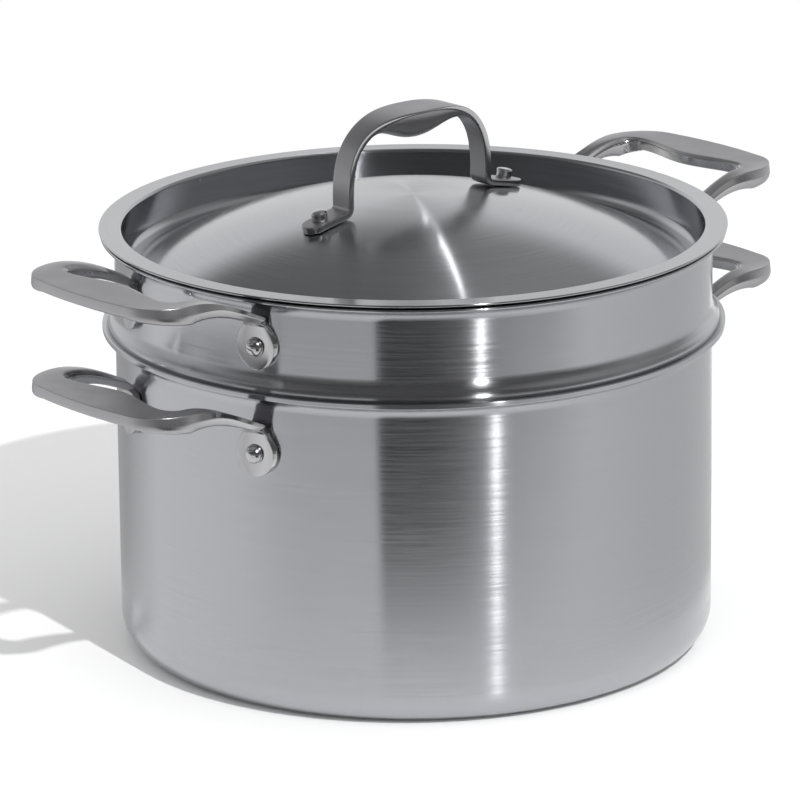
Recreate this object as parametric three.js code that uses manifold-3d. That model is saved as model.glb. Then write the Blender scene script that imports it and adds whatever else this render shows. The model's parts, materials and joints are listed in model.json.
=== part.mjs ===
// Stockpot with a pasta insert and a drop-in lid, all in stainless steel.
// Millimetres, +Z up. The origin is the centre of the base, and +X runs along the handles.
import * as THREE from "three";
import { mergeVertices } from "three/addons/utils/BufferGeometryUtils.js";
import Module from "manifold-3d";

const wasm = await Module();
wasm.setup();

// Pot: a straight drawn shell with a rounded corner and a lip that flares out flat
const POT_BORE_DIA = 260;
const POT_WALL = 2.5;
const POT_HEIGHT = 147;
const POT_CORNER_RADIUS = 12;
const POT_FLARE_RADIUS = 8.2;
const POT_RIVET_DROP = 27.4;

// Pasta insert: a thin shell whose collar stands on the pot's lip and whose basket hangs in the pot
const INSERT_WALL = 1;
const INSERT_RISE = 42.1;
const COLLAR_STEP = 1.3;
const INSERT_FLARE_RADIUS = 7.8;
const BEAD_RADIUS = 2.8;
const BEAD_REACH = 3.3;
const BEAD_FILLET = 9;
const TUCK_RADIUS = 1.6;
const BASKET_FLOOR_GAP = 20;
const BASKET_CORNER_RADIUS = 14;
const INSERT_RIVET_DROP = 22.4;

// Perforations of the basket: rows round the side and rings on the floor
const HOLE_DIA = 7;
const SIDE_HOLES = 12;
const SIDE_ROWS = 3;
const SIDE_ROW_PITCH = 26;
const FLOOR_RINGS = 3;
const FLOOR_RING_PITCH = 30;
const HOLES_PER_RING = 6;

// Lid: a flat flange on the insert's lip, a drop wall, a gutter and a dome
const LID_WALL = 1;
const LID_LAP = 0.8;
const LID_BEND_RADIUS = 1.5;
const LID_WALL_CLEARANCE = 0.7;
const DOME_RISE = 12.3;
const GUTTER_RADIUS = 5;

// Lid handle: a cast arch with a swelling under its grip and a riveted foot at each end
const ARCH_SPAN = 84;
const ARCH_HEIGHT = 38;
const ARCH_POWER = 2.9;
const ARCH_THICKNESS = 3.2;
const ARCH_WIDTH = 11.2;
const GRIP_WIDTH = 20;
const GRIP_HALF_LENGTH = 40;
const SWELL_DEPTH = 10.3;
const SWELL_HALF_LENGTH = 37;
const FOOT_FILLET = 1.5;
const FOOT_LENGTH = 21;
const LID_RIVET_INSET = 9.7;

// Side handles: a flat grip on two arms that drop to pads on the wall
const HANDLE_REACH = 57.5;
const HANDLE_SPAN = 96.5;
const HANDLE_BOW = 2;
const HANDLE_CORNER_RADIUS = 21;
const HANDLE_THICKNESS = 5.8;
const HANDLE_RISE = 26.2;
const SLOT_DEPTH = 37.3;
const SLOT_WIDTH = 74;
const SLOT_BOW = 5;
const SLOT_CORNER_RADIUS = 6.5;
const ARM_THICKNESS = 9.3;
const ARM_ROOT_RISE = 13.5;
const ARM_ROOT_RADIUS = 3;
const PAD_SPACING = 84;
const PAD_NECK_WIDTH = 10;
const PAD_RADIUS = 10;
const PAD_THICKNESS = 3.4;

// Section of a side handle: shares of the thickness where the inner and outer edges end,
// and shares of the half width that the under face keeps on the inner and the outer side
const INNER_EDGE = 0.6;
const OUTER_EDGE = 0.7;
const GRIP_UNDER = [0.9, 0.8];
const ARM_UNDER = [0.7, 0.7];
const PAD_UNDER = [0.92, 0.92];

// Rivets: a shank, a head outside and a flat head inside
const SIDE_RIVET = { shank: 2.5, collar: 4.7, collarHeight: 0.6, head: 3.9, dome: 2.6 };
const LID_RIVET = { shank: 2.2, collar: 3.5, collarHeight: 3.4, head: 3.2, dome: 0.6 };
const INNER_HEAD_RADIUS = 4.2;
const INNER_HEAD_HEIGHT = 1.5;

// Clearances: between resting faces, round a shank, between the basket and the pot's inner rivet heads,
// and between the lid and the insert's inner rivet heads below it
const SEAT_GAP = 0.3;
const SHANK_GAP = 0.25;
const BASKET_CLEARANCE = 1.9;
const GUTTER_CLEARANCE = 0.4;

// Facets round each shell, hole and rivet, and steps along each bend, the dome, half the arch, its swelling and an arm
const SHELL_FACETS = 40;
const HOLE_FACETS = 6;
const RIVET_FACETS = 10;
const BEND_STEPS = 4;
const TIGHT_STEPS = 2;
const DOME_STEPS = 5;
const ARCH_STEPS = 13;
const SWELL_STEPS = 6;
const ARM_STEPS = 5;
const TAU = Math.PI * 2;
const QUARTER = Math.PI / 2;

// Places worked out from the sizes
const POT_INNER = POT_BORE_DIA / 2;
const POT_OUTER = POT_INNER + POT_WALL;
const POT_LIP = POT_INNER + POT_FLARE_RADIUS;
const POT_RIVET_Z = POT_HEIGHT - POT_RIVET_DROP;
const COLLAR_OUTER = POT_INNER + COLLAR_STEP;
const COLLAR_INNER = COLLAR_OUTER - INSERT_WALL;
const INSERT_TOP = POT_HEIGHT + INSERT_RISE;
const INSERT_LIP = COLLAR_INNER + INSERT_FLARE_RADIUS;
const INSERT_RIVET_Z = INSERT_TOP - INSERT_RIVET_DROP;
const BASKET_OUTER = POT_INNER - INNER_HEAD_HEIGHT - BASKET_CLEARANCE;
const BASKET_BOTTOM = POT_WALL + BASKET_FLOOR_GAP;
const LID_TOP = INSERT_TOP + SEAT_GAP + LID_WALL;
const LID_OUTER = INSERT_LIP + LID_LAP;
const LID_DROP_INNER = COLLAR_INNER - LID_WALL_CLEARANCE - LID_WALL;
const GUTTER_R = LID_DROP_INNER - GUTTER_RADIUS;
const GUTTER_Z = INSERT_RIVET_Z + INNER_HEAD_RADIUS + GUTTER_CLEARANCE + LID_WALL + GUTTER_RADIUS;
const DOME_TOP = LID_TOP + DOME_RISE;

// The dome is the sphere through its top that runs into the gutter
const GUTTER_FALL = DOME_TOP - GUTTER_Z;
const DOME_RADIUS = (GUTTER_R ** 2 + GUTTER_FALL ** 2 - GUTTER_RADIUS ** 2) / (2 * (GUTTER_FALL + GUTTER_RADIUS));

const steel = (color, roughness) => new THREE.MeshStandardMaterial({ color, roughness, metalness: 1 });
const BRUSHED = [0xb4b5b8, 0.34];
const SATIN_CAST = [0xa9a8a6, 0.42];
const POLISHED = [0xb0b0b0, 0.25];

// Points of an arc in a profile, from one angle to another
function arc(r, z, radius, from, to, steps = BEND_STEPS) {
  const points = [];
  for (let i = 0; i <= steps; i += 1) {
    const angle = from + (to - from) * i / steps;
    points.push(new THREE.Vector2(r + radius * Math.cos(angle), z + radius * Math.sin(angle)));
  }
  return points;
}

const point = (r, z) => new THREE.Vector2(r, z);

// A sheet's other face: each profile point moved to its right by the sheet's thickness
function offsetFace(profile, thickness) {
  return profile.map((at, i) => {
    const before = profile[Math.max(i - 1, 0)];
    const after = profile[Math.min(i + 1, profile.length - 1)];
    const into = at.clone().sub(before).normalize();
    const out = after.clone().sub(at).normalize();
    const along = into.clone().add(out).normalize();
    const turn = i === 0 || i === profile.length - 1 ? 1 : Math.sqrt((1 + into.dot(out)) / 2);
    const side = new THREE.Vector2(along.y, -along.x);
    const moved = at.clone().addScaledVector(side, thickness / turn);
    return at.x === 0 ? point(0, moved.y) : moved;
  });
}

// One welded geometry with no collapsed triangles
function weld(geometry) {
  geometry.deleteAttribute("normal");
  geometry.deleteAttribute("uv");
  const merged = mergeVertices(geometry, 1e-4);
  const index = merged.index.array;
  const kept = [];
  for (let i = 0; i < index.length; i += 3) {
    const [a, b, c] = index.slice(i, i + 3);
    if (a !== b && b !== c && c !== a) kept.push(a, b, c);
  }
  merged.setIndex(kept);
  return merged;
}

// A profile of radius and height, turned round the Z axis
function revolve(profile, facets = SHELL_FACETS) {
  const geometry = new THREE.LatheGeometry(profile, facets);
  geometry.rotateX(QUARTER);
  return weld(geometry);
}

function toSolid(geometry) {
  const vertProperties = new Float32Array(geometry.attributes.position.array);
  const triVerts = new Uint32Array(geometry.index.array);
  return new wasm.Manifold(new wasm.Mesh({ numProp: 3, vertProperties, triVerts }));
}

function toGeometry(solid) {
  const mesh = solid.getMesh();
  const geometry = new THREE.BufferGeometry();
  geometry.setAttribute("position", new THREE.BufferAttribute(new Float32Array(mesh.vertProperties), 3));
  geometry.setIndex(new THREE.BufferAttribute(new Uint32Array(mesh.triVerts), 1));
  return geometry;
}

// Round cutters taken out of a geometry, all in one cut
function cut(geometry, cutters) {
  const solid = cutters.map((cutter) => toSolid(weld(cutter))).reduce((a, b) => a.add(b));
  return toGeometry(toSolid(geometry).subtract(solid));
}

// A cutter along Z that reaches as far up as down
function drill(radius, reach, facets) {
  const geometry = new THREE.CylinderGeometry(radius, radius, 2 * reach, facets);
  geometry.rotateX(QUARTER);
  return geometry;
}

// A skin over rings of points, closed with a cap at each end
function loft(rings) {
  const count = rings[0].length;
  const corners = rings.flat().flatMap((p) => [p.x, p.y, p.z]);
  const faces = [];
  for (let i = 0; i + 1 < rings.length; i += 1) {
    for (let j = 0; j < count; j += 1) {
      const next = (j + 1) % count;
      const [a, b] = [i * count + j, i * count + next];
      const [c, d] = [a + count, b + count];
      faces.push(a, b, d, a, d, c);
    }
  }
  const last = (rings.length - 1) * count;
  for (let j = 1; j + 1 < count; j += 1) {
    faces.push(0, j + 1, j);
    faces.push(last, last + j, last + j + 1);
  }
  const geometry = new THREE.BufferGeometry();
  geometry.setAttribute("position", new THREE.Float32BufferAttribute(corners, 3));
  geometry.setIndex(faces);
  return geometry;
}

const group = new THREE.Group();

function add(name, geometry, finish, parent = group) {
  const mesh = new THREE.Mesh(geometry, steel(...finish));
  mesh.name = name;
  parent.add(mesh);
  return mesh;
}

// The two pads of a handle sit this far round from its middle, on a wall of a given radius
const padAngle = (wall) => Math.asin(PAD_SPACING / 2 / wall);

// Cutters for the shanks of the four rivets that hold two handles to a wall
function shankCutters(wall, z) {
  const cutters = [];
  const reach = 2 * (POT_WALL + SEAT_GAP + PAD_THICKNESS);
  for (const side of [0, Math.PI]) {
    for (const turn of [-padAngle(wall), padAngle(wall)]) {
      const cutter = drill(SIDE_RIVET.shank + SHANK_GAP, reach, RIVET_FACETS);
      cutter.rotateY(QUARTER);
      cutter.translate(wall, 0, z);
      cutter.rotateZ(side + turn);
      cutters.push(cutter);
    }
  }
  return cutters;
}

// Pot body
function potBody() {
  const bottomRadius = POT_CORNER_RADIUS + POT_WALL;
  const cornerR = POT_OUTER - bottomRadius;
  const flareZ = POT_HEIGHT - POT_FLARE_RADIUS;
  const profile = [
    point(0, 0),
    ...arc(cornerR, bottomRadius, bottomRadius, -QUARTER, 0),
    ...arc(POT_LIP, flareZ, POT_FLARE_RADIUS - POT_WALL, Math.PI, QUARTER),
    ...arc(POT_LIP, flareZ, POT_FLARE_RADIUS, QUARTER, Math.PI),
    ...arc(cornerR, bottomRadius, POT_CORNER_RADIUS, 0, -QUARTER),
    point(0, POT_WALL),
  ];
  return cut(revolve(profile), shankCutters(POT_OUTER, POT_RIVET_Z));
}

// Pasta insert, from the lip's outer edge down the outside to the middle of the basket's floor
function insertOutside() {
  const flareZ = INSERT_TOP - INSERT_FLARE_RADIUS;
  const beadR = COLLAR_OUTER + BEAD_REACH - BEAD_RADIUS;
  const seatR = POT_LIP - beadR;
  const seatReach = POT_FLARE_RADIUS + BEAD_RADIUS + SEAT_GAP;
  const beadZ = POT_HEIGHT - POT_FLARE_RADIUS + Math.sqrt(seatReach ** 2 - seatR ** 2);
  const filletR = COLLAR_OUTER + BEAD_FILLET;
  const filletReach = BEAD_FILLET + BEAD_RADIUS;
  const filletZ = beadZ + Math.sqrt(filletReach ** 2 - (filletR - beadR) ** 2);
  const lean = Math.atan2(filletZ - beadZ, filletR - beadR);
  const beadBottom = beadZ - BEAD_RADIUS;
  return [
    ...arc(INSERT_LIP, flareZ, INSERT_FLARE_RADIUS - INSERT_WALL, QUARTER, Math.PI),
    ...arc(filletR, filletZ, BEAD_FILLET, Math.PI, Math.PI + lean).slice(0, -1),
    ...arc(beadR, beadZ, BEAD_RADIUS, lean, -QUARTER),
    ...arc(BASKET_OUTER + TUCK_RADIUS, beadBottom - TUCK_RADIUS, TUCK_RADIUS, QUARTER, Math.PI, TIGHT_STEPS),
    ...arc(BASKET_OUTER - BASKET_CORNER_RADIUS, BASKET_BOTTOM + BASKET_CORNER_RADIUS,
      BASKET_CORNER_RADIUS, 0, -QUARTER),
    point(0, BASKET_BOTTOM),
  ];
}

function perforations() {
  const cutters = [];
  const reach = INSERT_WALL + HOLE_DIA;
  const firstRow = BASKET_BOTTOM + BASKET_CORNER_RADIUS + HOLE_DIA;
  for (let row = 0; row < SIDE_ROWS; row += 1) {
    for (let i = 0; i < SIDE_HOLES; i += 1) {
      const cutter = drill(HOLE_DIA / 2, reach, HOLE_FACETS);
      cutter.rotateY(QUARTER);
      cutter.translate(BASKET_OUTER, 0, firstRow + row * SIDE_ROW_PITCH);
      cutter.rotateZ(TAU * (i + row / 2 + 1 / 4) / SIDE_HOLES);
      cutters.push(cutter);
    }
  }
  for (let ring = 1; ring <= FLOOR_RINGS; ring += 1) {
    for (let i = 0; i < ring * HOLES_PER_RING; i += 1) {
      const cutter = drill(HOLE_DIA / 2, reach, HOLE_FACETS);
      cutter.translate(ring * FLOOR_RING_PITCH, 0, BASKET_BOTTOM);
      cutter.rotateZ(TAU * (i + 1 / 4) / (ring * HOLES_PER_RING));
      cutters.push(cutter);
    }
  }
  return cutters;
}

function pastaInsert() {
  const outside = insertOutside();
  const inside = offsetFace(outside, INSERT_WALL);
  const shell = revolve([...outside.reverse(), ...inside]);
  return cut(shell, [...shankCutters(COLLAR_OUTER, INSERT_RIVET_Z), ...perforations()]);
}

// Height of the lid's upper face on its dome, at a distance from the axis
const DOME_CENTRE_Z = DOME_TOP - DOME_RADIUS;
const domeHeight = (r) => DOME_CENTRE_Z + Math.sqrt(DOME_RADIUS ** 2 - r ** 2);

// Lid shell, from the middle of the dome outward along its upper face
function lidShell() {
  const edgeAngle = Math.asin(GUTTER_R / (DOME_RADIUS + GUTTER_RADIUS));
  const bendR = LID_DROP_INNER + LID_BEND_RADIUS;
  const upper = [
    ...arc(0, DOME_CENTRE_Z, DOME_RADIUS, QUARTER, QUARTER - edgeAngle, DOME_STEPS),
    ...arc(GUTTER_R, GUTTER_Z, GUTTER_RADIUS, -QUARTER - edgeAngle, 0).slice(1),
    ...arc(bendR, LID_TOP - LID_BEND_RADIUS, LID_BEND_RADIUS, Math.PI, QUARTER, TIGHT_STEPS),
    point(LID_OUTER, LID_TOP),
  ];
  upper[0].x = 0;
  const lower = offsetFace(upper, LID_WALL);
  const shell = revolve([...lower, ...upper.reverse()]);
  return cut(shell, [-1, 1].map((side) => lidShank(side)));
}

// Places of the lid handle's feet along its length
const FOOT_INNER = ARCH_SPAN / 2 + FOOT_FILLET;
const FOOT_TIP = FOOT_INNER + FOOT_LENGTH - FOOT_FILLET;
const LID_RIVET_R = FOOT_TIP - LID_RIVET_INSET;
const LID_RIVET_TILT = Math.asin(LID_RIVET_R / DOME_RADIUS);

// A lid rivet's own frame: its origin on the dome, and its Z square to it
function placeOnDome(object, side) {
  object.rotation.set(0, side * LID_RIVET_TILT, 0);
  object.position.set(side * LID_RIVET_R, 0, domeHeight(LID_RIVET_R));
  object.updateMatrix();
  return object;
}

function lidShank(side) {
  const reach = 2 * (LID_WALL + SEAT_GAP + ARCH_THICKNESS);
  const cutter = drill(LID_RIVET.shank + SHANK_GAP, reach, RIVET_FACETS);
  return cutter.applyMatrix4(placeOnDome(new THREE.Object3D(), side).matrix);
}

// A ring across the arch: flat on the outer face, with a half-round swelling on the inner one
function archRing(at, outward, halfWidth, swell) {
  const section = [[-1, 0], [0, 0], [1, 0]];
  for (let i = 0; i <= SWELL_STEPS; i += 1) {
    const angle = Math.PI * i / SWELL_STEPS;
    section.push([Math.cos(angle), ARCH_THICKNESS + swell * Math.sin(angle)]);
  }
  return section.map(([across, depth]) => new THREE.Vector3(
    at.x - outward.x * depth,
    -across * halfWidth,
    at.y - outward.y * depth,
  ));
}

// Half of the lid handle's rings, from the tip of the foot at -X up to the middle of the grip
function archHalf() {
  const rings = [];
  const half = ARCH_WIDTH / 2;
  const lift = SEAT_GAP + ARCH_THICKNESS;
  const slope = LID_RIVET_TILT;
  const footNormal = point(-Math.sin(slope), Math.cos(slope));
  const footTop = (u) => domeHeight(LID_RIVET_R) + lift / Math.cos(slope)
    - (u - LID_RIVET_R) * Math.tan(slope);
  for (let i = 1; i <= BEND_STEPS; i += 1) {
    const angle = QUARTER * i / BEND_STEPS;
    const u = FOOT_TIP - half * (1 - Math.cos(angle));
    rings.push(archRing(point(-u, footTop(u)), footNormal, half * Math.sin(angle), 0));
  }
  const turnZ = footTop(FOOT_INNER) + FOOT_FILLET;
  for (let i = 0; i <= BEND_STEPS; i += 1) {
    const angle = slope + (QUARTER - slope) * i / BEND_STEPS;
    const normal = point(-Math.sin(angle), Math.cos(angle));
    const at = point(-FOOT_INNER, turnZ).addScaledVector(normal, -FOOT_FILLET);
    rings.push(archRing(at, normal, half, 0));
  }
  for (let i = 1; i <= ARCH_STEPS; i += 1) {
    const theta = QUARTER * (i / ARCH_STEPS);
    const x = Math.cos(theta) ** (2 / ARCH_POWER);
    const y = Math.sin(theta) ** (2 / ARCH_POWER);
    const at = point(-x * ARCH_SPAN / 2, turnZ + y * ARCH_HEIGHT);
    const normal = point(
      -(x ** (ARCH_POWER - 1)) / (ARCH_SPAN / 2),
      y ** (ARCH_POWER - 1) / ARCH_HEIGHT,
    ).normalize();
    const fall = (reach) => Math.cos(QUARTER * Math.min(-at.x / reach, 1)) ** 2;
    const width = half + (GRIP_WIDTH - ARCH_WIDTH) / 2 * fall(GRIP_HALF_LENGTH);
    rings.push(archRing(at, normal, width, SWELL_DEPTH * fall(SWELL_HALF_LENGTH)));
  }
  return rings;
}

function lidHandle() {
  const half = archHalf();
  const mirrored = half.slice(0, -1).reverse().map((ring) => ring.map((p) => p.clone().setX(-p.x)));
  return cut(loft([...half, ...mirrored]), [-1, 1].map((side) => lidShank(side)));
}

// A ring across a side handle: a flat upper face with a crease, and a rounded under face.
// place(across, depth) gives the point at a share of the half width and a depth below the upper face.
function handleRing(place, thickness, [underInner, underOuter]) {
  const section = [
    [-1, 0], [0, 0], [1, 0], [1, OUTER_EDGE],
    [underOuter, 1], [0, 1], [-underInner, 1], [-1, INNER_EDGE],
  ];
  return section.map(([across, depth]) => place(across, depth * thickness));
}

// Rings of a level or sloping stretch between an inner and an outer edge
function levelRing(inner, outer, z, slope, thickness, under) {
  return handleRing((across, depth) => {
    const at = inner.clone().lerp(outer, (across + 1) / 2);
    return new THREE.Vector3(at.x + depth * Math.sin(slope), at.y, z - depth * Math.cos(slope));
  }, thickness, under);
}

// Half of a side handle's rings, from the middle of the grip to the tip of a pad
function handleHalf(wall) {
  const rings = [];
  const edge = HANDLE_SPAN / 2;
  const slotHalf = SLOT_WIDTH / 2;
  const reach = wall + HANDLE_REACH;
  const slot = wall + SLOT_DEPTH;
  const cornerB = edge - HANDLE_CORNER_RADIUS;
  const slotB = slotHalf - SLOT_CORNER_RADIUS;
  const bow = (b) => reach - HANDLE_BOW * (b / cornerB) ** 2;
  for (let i = 0; i < BEND_STEPS; i += 1) {
    const share = i / BEND_STEPS;
    const inner = point(slot - SLOT_BOW * Math.cos(QUARTER * share) ** 2, share * slotB);
    const outer = point(bow(share * cornerB), share * cornerB);
    rings.push(levelRing(inner, outer, HANDLE_RISE, 0, HANDLE_THICKNESS, GRIP_UNDER));
  }
  const cornerA = bow(cornerB) - HANDLE_CORNER_RADIUS;
  const corner = arc(cornerA, cornerB, HANDLE_CORNER_RADIUS, 0, QUARTER, BEND_STEPS + 1);
  const slotCorner = arc(slot - SLOT_CORNER_RADIUS, slotB, SLOT_CORNER_RADIUS, 0, QUARTER, BEND_STEPS + 1);
  corner.forEach((outer, i) => {
    const thickness = HANDLE_THICKNESS + (ARM_THICKNESS - HANDLE_THICKNESS) * i / (corner.length - 1);
    rings.push(levelRing(slotCorner[i], outer, HANDLE_RISE, 0, thickness, GRIP_UNDER));
  });

  // The arm runs in to the wall and falls in a quarter wave
  const angle = padAngle(wall);
  const neck = PAD_NECK_WIDTH / 2;
  const rootR = wall + SEAT_GAP + ARM_ROOT_RADIUS;
  const polar = (r, across) => point(r * Math.cos(angle + across / wall), r * Math.sin(angle + across / wall));
  const innerStart = slotCorner.at(-1);
  const outerStart = corner.at(-1);
  const run = innerStart.x - rootR;
  const fall = HANDLE_RISE - ARM_ROOT_RISE;
  const thin = (share) => ARM_THICKNESS + (PAD_THICKNESS - ARM_THICKNESS) * share;
  for (let i = 1; i <= ARM_STEPS; i += 1) {
    const share = i / ARM_STEPS;
    const inner = innerStart.clone().lerp(polar(rootR, -neck), share);
    const outer = outerStart.clone().lerp(polar(rootR, neck), share);
    const z = ARM_ROOT_RISE + fall * Math.cos(QUARTER * share);
    const slope = Math.atan(QUARTER * fall / run * Math.sin(QUARTER * share));
    rings.push(levelRing(inner, outer, z, slope, thin(share), ARM_UNDER));
  }

  // The root turns down on to the wall, and the pad widens round its rivet to a half circle
  const rootSlope = Math.atan(QUARTER * fall / run);
  const turnR = rootR - ARM_ROOT_RADIUS * (1 - Math.sin(rootSlope));
  const turnZ = ARM_ROOT_RISE - ARM_ROOT_RADIUS * Math.cos(rootSlope);
  const padRing = (r, z, slope, halfWidth, thickness) => handleRing((across, depth) => {
    const turn = angle + across * halfWidth / wall;
    const out = r + depth * Math.sin(slope);
    return new THREE.Vector3(out * Math.cos(turn), out * Math.sin(turn), z - depth * Math.cos(slope));
  }, thickness, PAD_UNDER);
  for (let i = 1; i <= TIGHT_STEPS; i += 1) {
    const slope = rootSlope + (QUARTER - rootSlope) * i / TIGHT_STEPS;
    const r = turnR + ARM_ROOT_RADIUS * (1 - Math.sin(slope));
    const z = turnZ + ARM_ROOT_RADIUS * Math.cos(slope);
    rings.push(padRing(r, z, slope, neck, PAD_THICKNESS));
  }
  const padR = wall + SEAT_GAP;
  for (let i = 1; i <= TIGHT_STEPS; i += 1) {
    const share = 1 - i / (TIGHT_STEPS + 1);
    const swell = neck + (PAD_RADIUS - neck) * Math.cos(QUARTER * share);
    rings.push(padRing(padR, turnZ * share, QUARTER, swell, PAD_THICKNESS));
  }
  const tipStep = QUARTER / (BEND_STEPS + 1 / 2);
  for (let i = 0; i <= BEND_STEPS; i += 1) {
    const drop = PAD_RADIUS * Math.sin(i * tipStep);
    rings.push(padRing(padR, -drop, QUARTER, PAD_RADIUS * Math.cos(i * tipStep), PAD_THICKNESS));
  }
  return rings;
}

function sideHandle(wall) {
  const half = handleHalf(wall);
  const mirrored = half.slice(1).reverse().map((ring) => ring.map((p) => p.clone().setY(-p.y)));
  const rings = [...mirrored, ...half];
  return cut(loft(rings), shankCutters(wall, 0));
}

// A rivet along Z: its outer head sits at the top of the grip length, its inner head below zero
function rivet(size, grip) {
  const headZ = grip + size.collarHeight;
  const profile = [
    point(0, -INNER_HEAD_HEIGHT),
    point(INNER_HEAD_RADIUS * Math.SQRT1_2, -INNER_HEAD_HEIGHT * Math.SQRT1_2),
    point(INNER_HEAD_RADIUS, 0),
    point(size.shank, 0),
    point(size.shank, grip),
    point(size.collar, grip),
    point(size.collar, headZ),
    point(size.head, headZ),
    point(size.head * Math.SQRT1_2, headZ + size.dome * Math.SQRT1_2),
    point(0, headZ + size.dome),
  ];
  return revolve(profile, RIVET_FACETS);
}

// Assembly
add("pot_body", potBody(), BRUSHED);
add("pasta_insert", pastaInsert(), BRUSHED);
add("lid_shell", lidShell(), BRUSHED);
add("lid_handle", lidHandle(), SATIN_CAST);

const sides = { right: 0, left: Math.PI };
const facetSag = (r) => r * (1 - Math.cos(Math.PI / SHELL_FACETS));

for (const [side, turn] of Object.entries(sides)) {
  const sign = Math.cos(turn);
  const lidGrip = LID_WALL + ARCH_THICKNESS + SEAT_GAP * 3;
  const seat = placeOnDome(new THREE.Group(), sign);
  group.add(seat);
  const lidRivet = add(`lid_rivet_${side}`, rivet(LID_RIVET, lidGrip), POLISHED, seat);
  lidRivet.position.z = -LID_WALL - SEAT_GAP;
}

function hangHandles(owner, wall, inner, z) {
  const innerSeat = inner - facetSag(inner) - SEAT_GAP;
  const grip = wall + SEAT_GAP + PAD_THICKNESS + SEAT_GAP - innerSeat;
  for (const [side, turn] of Object.entries(sides)) {
    const hung = new THREE.Group();
    hung.rotation.z = turn;
    hung.position.z = z;
    group.add(hung);
    add(`${owner}_handle_${side}`, sideHandle(wall), SATIN_CAST, hung);
    for (const [end, sign] of [["a", 1], ["b", -1]]) {
      const seat = new THREE.Group();
      seat.rotation.z = sign * padAngle(wall);
      hung.add(seat);
      const pin = add(`${owner}_rivet_${side}_${end}`, rivet(SIDE_RIVET, grip), POLISHED, seat);
      pin.rotation.y = QUARTER;
      pin.position.x = innerSeat;
    }
  }
}

hangHandles("pot", POT_OUTER, POT_INNER, POT_RIVET_Z);
hangHandles("insert", COLLAR_OUTER, COLLAR_INNER, INSERT_RIVET_Z);

export default group;
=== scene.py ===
"""Stockpot with a pasta insert and a recessed lid, in brushed and cast stainless steel."""
import json
import math

import bmesh
import bpy
from mathutils import Matrix, Quaternion, Vector

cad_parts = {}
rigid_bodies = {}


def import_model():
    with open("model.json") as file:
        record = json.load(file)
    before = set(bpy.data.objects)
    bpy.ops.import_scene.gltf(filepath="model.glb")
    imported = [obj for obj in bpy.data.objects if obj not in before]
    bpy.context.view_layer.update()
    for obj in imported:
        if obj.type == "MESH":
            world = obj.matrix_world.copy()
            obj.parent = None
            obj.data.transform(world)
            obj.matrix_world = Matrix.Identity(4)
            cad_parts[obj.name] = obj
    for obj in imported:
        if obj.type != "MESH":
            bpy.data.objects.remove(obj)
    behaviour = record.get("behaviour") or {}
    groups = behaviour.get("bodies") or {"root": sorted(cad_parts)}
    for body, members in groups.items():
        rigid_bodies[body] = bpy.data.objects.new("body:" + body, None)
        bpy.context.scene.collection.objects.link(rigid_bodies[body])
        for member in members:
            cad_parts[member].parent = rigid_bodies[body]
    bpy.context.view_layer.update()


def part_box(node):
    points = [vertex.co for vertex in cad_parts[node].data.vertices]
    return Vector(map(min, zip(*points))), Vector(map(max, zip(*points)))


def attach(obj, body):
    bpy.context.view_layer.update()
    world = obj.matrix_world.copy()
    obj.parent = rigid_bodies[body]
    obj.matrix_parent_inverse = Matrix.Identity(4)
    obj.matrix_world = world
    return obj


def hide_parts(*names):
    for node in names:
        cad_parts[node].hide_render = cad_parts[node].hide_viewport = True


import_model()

# Sizes are in millimetres, and meshes are scaled to metres as they are made
MM = 0.001
TAU = math.tau
QUARTER = math.pi / 2


def corners_mm(node):
    """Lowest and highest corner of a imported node, in millimetres."""
    low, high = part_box(node)
    return low / MM, high / MM


_, POT_HIGH = corners_mm("pot_body")
INSERT_LOW, INSERT_HIGH = corners_mm("pasta_insert")
LID_LOW, LID_HIGH = corners_mm("lid_shell")

# Pot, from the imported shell's lip and height
POT_WALL = 2.5
POT_CORNER_RADIUS = 12
POT_FLARE_RADIUS = 8.2
POT_LIP = POT_HIGH.x
POT_HEIGHT = POT_HIGH.z
POT_INNER = POT_LIP - POT_FLARE_RADIUS
POT_OUTER = POT_INNER + POT_WALL

# Pasta insert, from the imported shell's lip, top and floor
INSERT_WALL = 1
INSERT_FLARE_RADIUS = 7.8
BEAD_RADIUS = 2.8
BEAD_REACH = 3.3
BEAD_FILLET = 9
TUCK_RADIUS = 1.6
BASKET_CORNER_RADIUS = 14
BASKET_GAP = 3.4
INSERT_LIP = INSERT_HIGH.x
INSERT_TOP = INSERT_HIGH.z
BASKET_BOTTOM = INSERT_LOW.z
COLLAR_INNER = INSERT_LIP - INSERT_FLARE_RADIUS
COLLAR_OUTER = COLLAR_INNER + INSERT_WALL
BASKET_OUTER = POT_INNER - BASKET_GAP

# Perforations: rows of small round holes round the basket, and rings of them on its floor. Each hole has a
# cell of its own, with steps up its sides and rings of faces from its outline to the hole.
HOLE_RADIUS = 2.6
CELL_STEPS = 4
WALL_FACE_RINGS = 2
FLOOR_FACE_RINGS = 1
SIDE_HOLES = 60
SIDE_ROWS = 9
SIDE_ROW_PITCH = 10.5
FLOOR_RINGS = ((100, 48), (86, 40), (72, 30), (58, 30), (44, 20), (30, 12), (16, 8))
FLOOR_RING_PITCH = 14

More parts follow.
